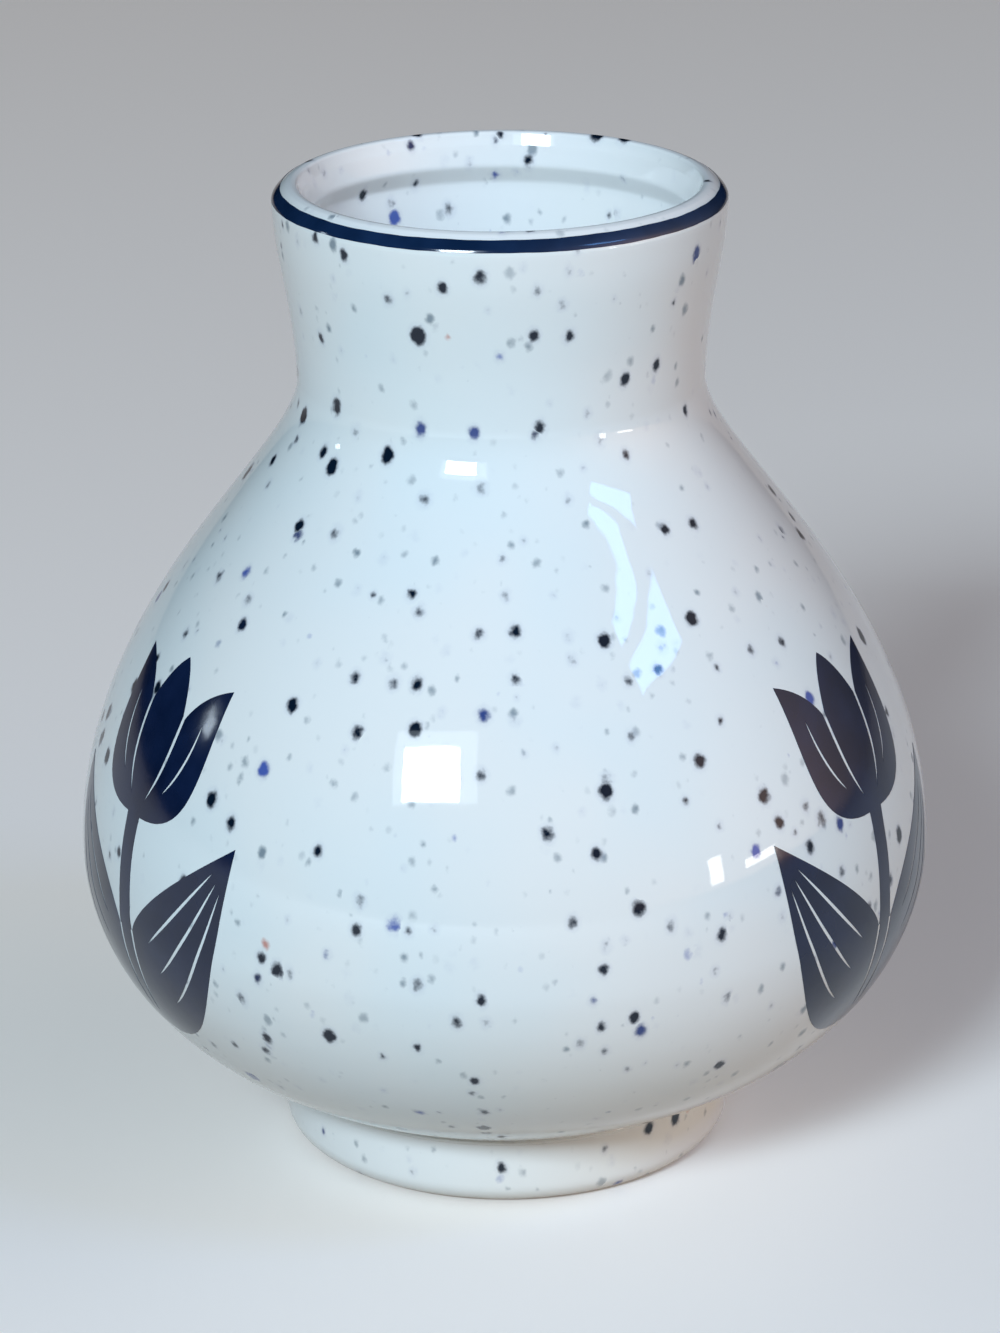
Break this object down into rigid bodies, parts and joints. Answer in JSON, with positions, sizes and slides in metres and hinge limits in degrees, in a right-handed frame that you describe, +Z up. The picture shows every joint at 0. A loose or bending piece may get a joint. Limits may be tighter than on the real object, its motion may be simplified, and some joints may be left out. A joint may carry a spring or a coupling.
{
  "type": "small round-bellied ceramic vase",
  "caption": "Small glazed ceramic vase with a round belly, short flared neck, low foot ring, dark lip line and plant transfers.",
  "frame": {"origin": "centre of the foot ring's underside, where the vase stands", "axes": "+Z up along the vase's axis of revolution, -Y the front with the clear panel between two transfers"},
  "size_m": [0.0862, 0.0864, 0.1],
  "materials": {
    "speckled_glaze": "glossy white glaze with blue-black specks",
    "navy_enamel": "glossy navy, fired on"
  },
  "bodies": {
    "root": {"body": "speckled_glaze", "foot_ring": "speckled_glaze", "rim_line": "navy_enamel", "flower_transfer_1": "navy_enamel", "flower_transfer_2": "navy_enamel", "flower_transfer_3": "navy_enamel", "bud_transfer_1": "navy_enamel", "bud_transfer_2": "navy_enamel"}
  },
  "joints": []
}
